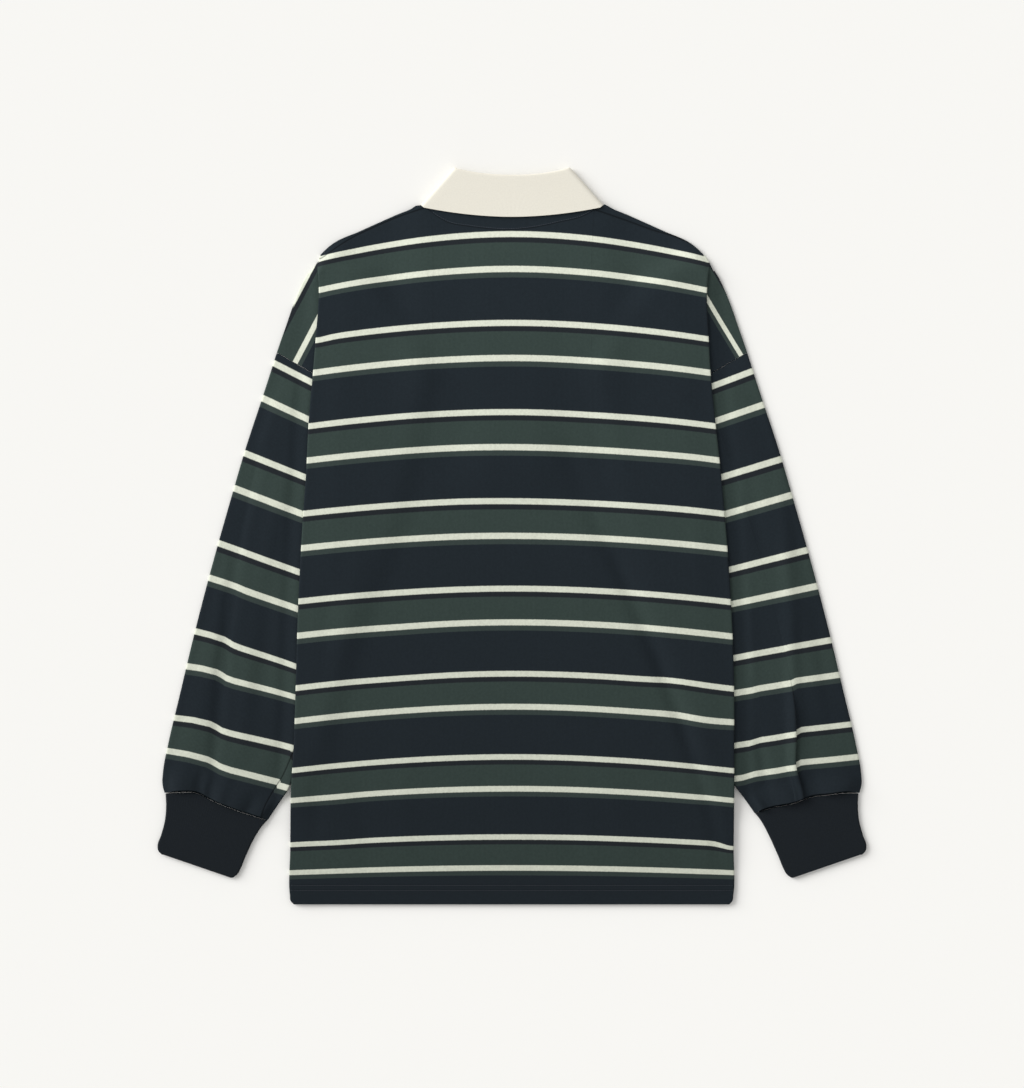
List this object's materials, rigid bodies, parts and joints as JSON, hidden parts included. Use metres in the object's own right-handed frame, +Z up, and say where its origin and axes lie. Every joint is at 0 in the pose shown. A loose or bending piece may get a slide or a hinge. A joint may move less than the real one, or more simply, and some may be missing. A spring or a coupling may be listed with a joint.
{
  "type": "long-sleeve polo shirt laid flat",
  "caption": "Loose long-sleeve striped polo shirt lying face down, with side pleats at the drop shoulders, rib cuffs, flat-knit collar and buttoned placket.",
  "frame": {"origin": "on the table under the middle of the shirt's box", "axes": "+Y from the hem to the collar, +Z up out of the shirt's back, +X to the right as seen from above"},
  "size_m": [0.7434, 0.773, 0.0107],
  "materials": {
    "striped_jersey": "heavy cotton jersey, navy with green bands and off-white stripes",
    "rib_knit": "navy cotton rib knit",
    "collar_knit": "cream flat-knit cotton",
    "placket_twill": "cream cotton twill",
    "button_resin": "off-white resin"
  },
  "bodies": {
    "root": {"back": "striped_jersey", "front": "striped_jersey", "sleeve_left": "striped_jersey", "sleeve_right": "striped_jersey", "cuff_left": "rib_knit", "cuff_right": "rib_knit", "collar": "collar_knit", "placket_upper": "placket_twill", "placket_lower": "placket_twill", "button_1": "button_resin", "button_2": "button_resin", "button_3": "button_resin"}
  },
  "joints": []
}
